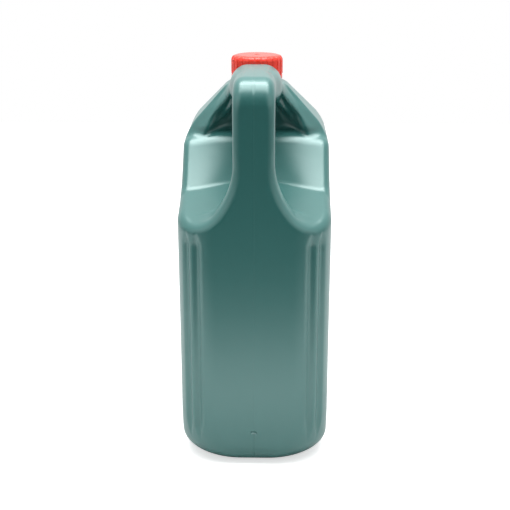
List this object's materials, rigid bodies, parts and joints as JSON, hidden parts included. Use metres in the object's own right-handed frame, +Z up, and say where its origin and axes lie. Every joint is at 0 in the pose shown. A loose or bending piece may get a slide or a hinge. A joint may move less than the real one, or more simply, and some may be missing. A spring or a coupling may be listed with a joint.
{
  "type": "motor oil bottle",
  "caption": "Blow-moulded oil bottle with a hollow rear handle, pocket behind the shoulders, grooved corners, label panels and a ribbed screw cap.",
  "frame": {"origin": "middle of the body, on the surface that it stands on", "axes": "+Z up, X across the narrow sides, Y along the broad sides with the handle at the -Y end and the neck towards +Y"},
  "size_m": [0.115, 0.19, 0.3],
  "materials": {
    "pearl_hdpe": "satin, pearlescent",
    "red_pp": "satin",
    "foam_wad": "matte foam"
  },
  "bodies": {
    "bottle": {"bottle": "pearl_hdpe", "tamper_ring": "red_pp"},
    "liner": {"cap_liner": "foam_wad"},
    "cap": {"cap": "red_pp"}
  },
  "joints": [
    {"name": "cap_lift", "type": "slide", "parent": "bottle", "child": "liner", "axis": [0, 0, 1], "range_m": [0, 0.01105]},
    {"name": "cap_turn", "type": "hinge", "parent": "liner", "child": "cap", "pos_m": [0, 0.025, 0.29], "axis": [0, 0, 1], "range_deg": [0, 990]}
  ],
  "couplings": [
    {"joint": "cap_lift", "follows": "cap_turn", "m_per_rad": 0.00063662}
  ]
}
